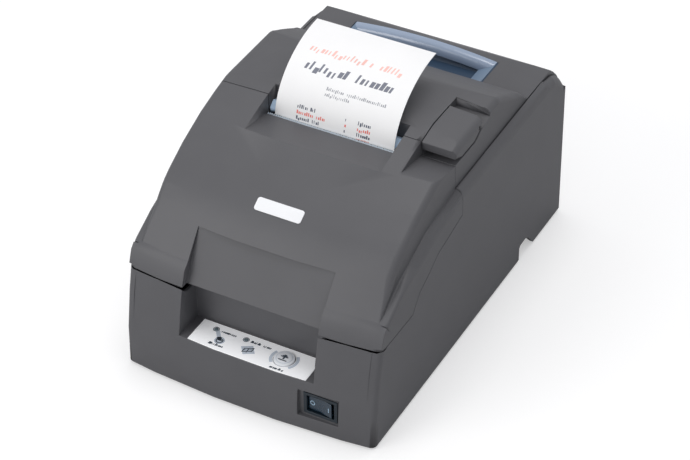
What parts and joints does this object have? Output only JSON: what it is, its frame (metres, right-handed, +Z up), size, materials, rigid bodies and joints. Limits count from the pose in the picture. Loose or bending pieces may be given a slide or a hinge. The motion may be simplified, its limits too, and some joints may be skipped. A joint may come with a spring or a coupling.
{
  "type": "receipt printer",
  "caption": "Desktop receipt printer for roll paper: dark grey casing, hinged front and roll covers, print carriage, feed gears, cutter and a printed receipt standing in its exit.",
  "frame": {"origin": "centre of the underside of the part's box: the feet stand on z = 0", "axes": "+Z up, the bowed front with the control panel faces -Y, +X to the right seen from the front"},
  "size_m": [0.16, 0.248, 0.1575],
  "materials": {
    "casing": "fine-grained dark grey moulding",
    "dark_plastic": "satin black",
    "smoked": "smoked, glossy",
    "blade_steel": "ground and polished",
    "plate_steel": "zinc-plated sheet",
    "badge_plate": "blank white plate",
    "panel_label": "printed film",
    "led_green": "clear lens",
    "board": "solder-masked glass board",
    "button_grey": "satin",
    "rocker_dark": "gloss",
    "motor_steel": "satin",
    "gear_plastic": "acetal",
    "rubber_black": "matt",
    "ribbon_ink": "inked cloth",
    "paper_white": "uncoated",
    "core_board": "bare"
  },
  "bodies": {
    "casing": {"lower_case": "casing", "panel_overlay": "panel_label", "status_leds": "led_green", "panel_board": "board", "switch_body": "dark_plastic", "front_hinge_pins": "plate_steel", "rear_hinge_pins": "plate_steel", "frame_left": "plate_steel", "frame_right": "plate_steel", "frame_base": "plate_steel", "platen": "plate_steel", "carriage_shaft": "plate_steel", "guide_rail": "plate_steel", "timing_belt": "rubber_black", "carriage_motor": "motor_steel", "feed_motor": "motor_steel", "pinch_shaft": "plate_steel", "paper_guide": "dark_plastic", "cutter_frame": "plate_steel", "fixed_blade": "blade_steel", "cutter_motor": "motor_steel", "ribbon_cassette": "dark_plastic", "ribbon": "ribbon_ink", "paper_bin": "dark_plastic", "paper_web": "paper_white", "main_board": "board", "interface_card": "board", "interface_plate": "plate_steel", "dc_inlet": "dark_plastic", "drawer_jack": "dark_plastic", "rubber_feet": "rubber_black", "case_screws": "plate_steel"},
    "front_cover_body": {"front_cover": "casing", "badge": "badge_plate"},
    "roll_cover_body": {"roll_cover": "casing", "roll_window": "smoked", "tear_bar": "blade_steel", "receipt_paper": "paper_white", "lever_pin": "plate_steel"},
    "lever_body": {"cover_lever": "casing"},
    "rocker_body": {"power_rocker": "rocker_dark"},
    "button_body": {"feed_button": "button_grey"},
    "carriage_body": {"carriage": "dark_plastic", "print_head": "motor_steel"},
    "drive_pulley_body": {"drive_pulley": "gear_plastic"},
    "idler_pulley_body": {"idler_pulley": "gear_plastic"},
    "ribbon_drive_body": {"ribbon_gear": "gear_plastic", "ribbon_knob": "dark_plastic"},
    "feed_roller_body": {"feed_roller": "rubber_black", "feed_gear": "gear_plastic"},
    "idler_gear_body": {"idler_gear": "gear_plastic"},
    "motor_pinion_body": {"motor_pinion": "gear_plastic"},
    "pinch_body": {"pinch_rollers": "rubber_black"},
    "blade_body": {"moving_blade": "blade_steel"},
    "cutter_pinion_body": {"cutter_pinion": "gear_plastic"},
    "roll_body": {"paper_roll": "paper_white", "roll_core": "core_board"}
  },
  "joints": [
    {"name": "front_cover_hinge", "type": "hinge", "parent": "casing", "child": "front_cover_body", "pos_m": [0, -0.106, 0.0685], "axis": [1, 0, 0], "range_deg": [0, 80]},
    {"name": "roll_cover_hinge", "type": "hinge", "parent": "casing", "child": "roll_cover_body", "pos_m": [0, 0.1203, 0.0965], "axis": [-1, 0, 0], "range_deg": [0, 90]},
    {"name": "lever_pivot", "type": "hinge", "parent": "roll_cover_body", "child": "lever_body", "pos_m": [0.064, 0.016, 0.1304], "axis": [-1, 0, 0], "range_deg": [0, 25], "stiffness_Nm_per_rad": 0.02, "springref_deg": -11.46},
    {"name": "rocker_pivot", "type": "hinge", "parent": "casing", "child": "rocker_body", "pos_m": [0.0473, -0.1165, 0.0197], "axis": [0, 0, 1], "range_deg": [0, 16]},
    {"name": "feed_button_press", "type": "slide", "parent": "casing", "child": "button_body", "axis": [0, 0, -1], "range_m": [0, 0.0008], "stiffness_N_per_m": 300},
    {"name": "carriage_slide", "type": "slide", "parent": "casing", "child": "carriage_body", "axis": [1, 0, 0], "range_m": [-0.032, 0.032]},
    {"name": "drive_pulley_spin", "type": "hinge", "parent": "casing", "child": "drive_pulley_body", "pos_m": [-0.052, -0.07, 0.029], "axis": [0, 0, 1], "range_deg": [-360, 360]},
    {"name": "idler_pulley_spin", "type": "hinge", "parent": "casing", "child": "idler_pulley_body", "pos_m": [0.052, -0.07, 0.029], "axis": [0, 0, 1], "range_deg": [-360, 360]},
    {"name": "ribbon_drive_spin", "type": "hinge", "parent": "casing", "child": "ribbon_drive_body", "pos_m": [0.046, -0.08309, 0.046], "axis": [0, 0, 1], "range_deg": [-184, 184]},
    {"name": "feed_roller_spin", "type": "hinge", "parent": "casing", "child": "feed_roller_body", "pos_m": [0, -0.02089, 0.082], "axis": [1, 0, 0], "continuous": true},
    {"name": "idler_gear_spin", "type": "hinge", "parent": "casing", "child": "idler_gear_body", "pos_m": [0.065, -0.00409, 0.082], "axis": [1, 0, 0], "continuous": true},
    {"name": "motor_pinion_spin", "type": "hinge", "parent": "casing", "child": "motor_pinion_body", "pos_m": [0.065, 0.00791, 0.082], "axis": [1, 0, 0], "continuous": true},
    {"name": "pinch_roller_spin", "type": "hinge", "parent": "casing", "child": "pinch_body", "pos_m": [0, -0.03016, 0.082], "axis": [1, 0, 0], "continuous": true},
    {"name": "blade_slide", "type": "slide", "parent": "casing", "child": "blade_body", "axis": [0, 1, 0], "range_m": [0, 0.005]},
    {"name": "cutter_pinion_spin", "type": "hinge", "parent": "casing", "child": "cutter_pinion_body", "pos_m": [0.0086, -0.05, 0.096], "axis": [0, 0, 1], "range_deg": [-62, 0]},
    {"name": "paper_roll_spin", "type": "hinge", "parent": "casing", "child": "roll_body", "pos_m": [0, 0.052, 0.074], "axis": [1, 0, 0], "continuous": true}
  ],
  "couplings": [
    {"joint": "drive_pulley_spin", "follows": "carriage_slide", "rad_per_m": -181.82},
    {"joint": "idler_pulley_spin", "follows": "carriage_slide", "rad_per_m": -181.82},
    {"joint": "ribbon_drive_spin", "follows": "carriage_slide", "rad_per_m": 90.909},
    {"joint": "idler_gear_spin", "follows": "feed_roller_spin", "ratio": -1.3333},
    {"joint": "motor_pinion_spin", "follows": "feed_roller_spin", "ratio": 2},
    {"joint": "pinch_roller_spin", "follows": "feed_roller_spin", "ratio": -1.25},
    {"joint": "cutter_pinion_spin", "follows": "blade_slide", "rad_per_m": -178.57}
  ]
}
